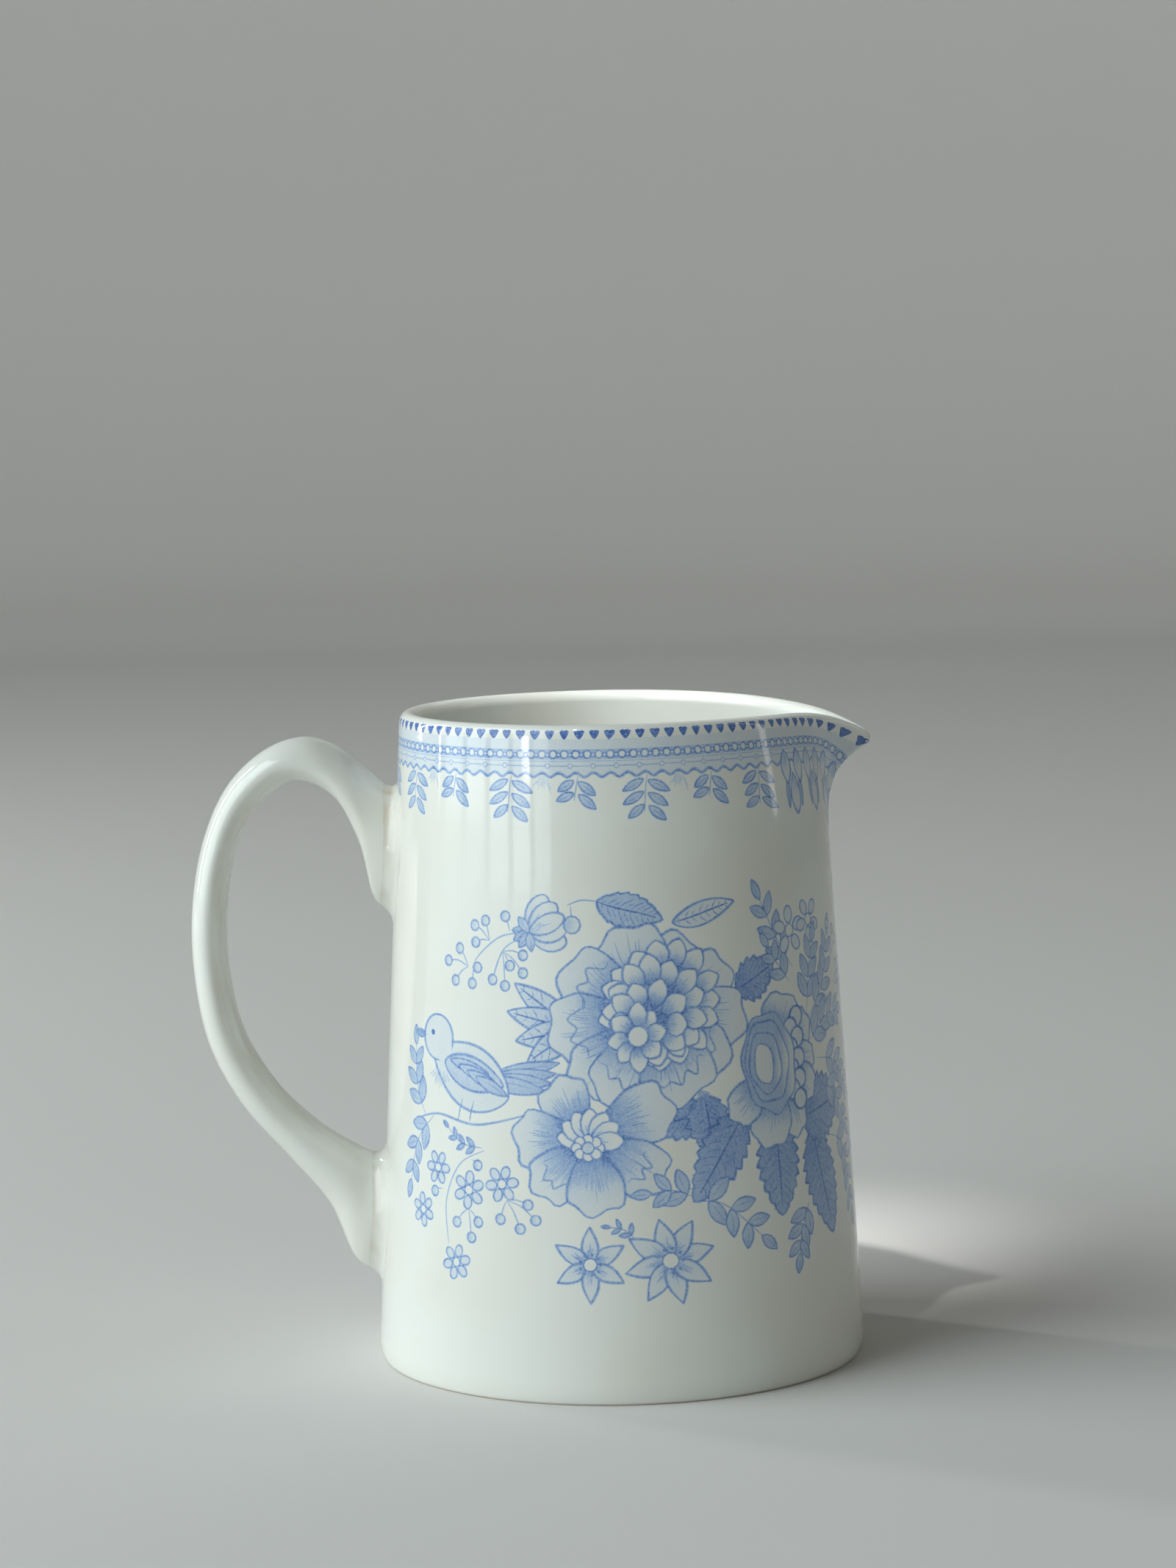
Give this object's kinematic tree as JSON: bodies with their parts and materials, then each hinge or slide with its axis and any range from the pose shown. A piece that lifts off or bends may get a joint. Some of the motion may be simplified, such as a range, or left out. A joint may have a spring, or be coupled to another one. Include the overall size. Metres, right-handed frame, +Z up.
{
  "type": "cream jug",
  "caption": "Half-pint cast cream jug with a pulled lip, a loop handle luted on with slip, and printed transfers round the outside.",
  "frame": {"origin": "on the axis of the body, at the level of the foot ring", "axes": "+Z up along the body's axis, +X towards the lip, -X towards the handle"},
  "size_m": [0.1044, 0.0746, 0.0995],
  "materials": {
    "glazed_body": "clear gloss glaze over cream-white earthenware",
    "glazed_slip": "gloss glaze, a little thicker and warmer where it pools",
    "blue_print": "blue underglaze print with tint and stipple, under gloss glaze"
  },
  "bodies": {
    "root": {"body": "glazed_body", "handle": "glazed_body", "upper_slip_joint": "glazed_slip", "lower_slip_joint": "glazed_slip", "rim_border_transfer": "blue_print", "front_spray_transfer": "blue_print", "back_spray_transfer": "blue_print"}
  },
  "joints": []
}
